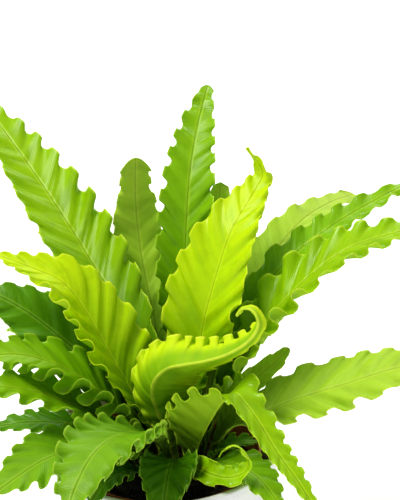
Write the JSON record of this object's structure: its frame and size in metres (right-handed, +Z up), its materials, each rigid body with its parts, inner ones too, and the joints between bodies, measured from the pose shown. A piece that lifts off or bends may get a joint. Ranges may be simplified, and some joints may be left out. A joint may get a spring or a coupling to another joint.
{
  "type": "potted bird's nest fern",
  "caption": "Potted fern: a rosette of strap-shaped fronds with strongly waved margins on a short crown, in soil in a nursery pot that stands inside a plain tapered white planter.",
  "frame": {"origin": "middle of the planter's flat underside, on the surface it stands on", "axes": "+Z up along the planter's axis, -Y towards the side the picture is taken from, +X to the right of it"},
  "size_m": [0.3006, 0.2987, 0.3104],
  "materials": {
    "planter_white": "satin",
    "nursery_plastic": "satin",
    "peat": "matte",
    "rhizome": "matte",
    "leaf_lime": "satin",
    "leaf_bright": "satin",
    "leaf_green": "satin",
    "leaf_dark": "satin",
    "leaf_matte": "matte"
  },
  "bodies": {
    "root": {"planter": "planter_white", "nursery_pot": "nursery_plastic", "soil": "peat", "crown": "rhizome", "frond_crested": "leaf_bright", "frond_bright_back": "leaf_lime", "frond_bright_left": "leaf_lime", "frond_arching": "leaf_bright", "frond_long_left": "leaf_bright", "frond_tall_back": "leaf_green", "frond_right_near": "leaf_bright", "frond_right_mid": "leaf_green", "frond_right_far": "leaf_matte", "frond_blunt_back": "leaf_matte", "frond_right_flat": "leaf_matte", "frond_left_dark": "leaf_dark", "frond_left_frilled": "leaf_green", "frond_left_ribbed": "leaf_green", "frond_left_broad": "leaf_green", "frond_front_left": "leaf_bright", "frond_left_small": "leaf_dark", "frond_front_dark": "leaf_dark", "frond_front_slim": "leaf_dark", "frond_curled_young": "leaf_bright", "frond_right_drooping": "leaf_green", "frond_right_short": "leaf_dark", "frond_front_short": "leaf_dark", "frond_back_slim": "leaf_matte", "frond_right_blunt": "leaf_matte", "frond_back_low_middle": "leaf_green", "frond_back_low_left": "leaf_green", "frond_back_low_right": "leaf_green", "frond_back_lowest": "leaf_dark"}
  },
  "joints": []
}
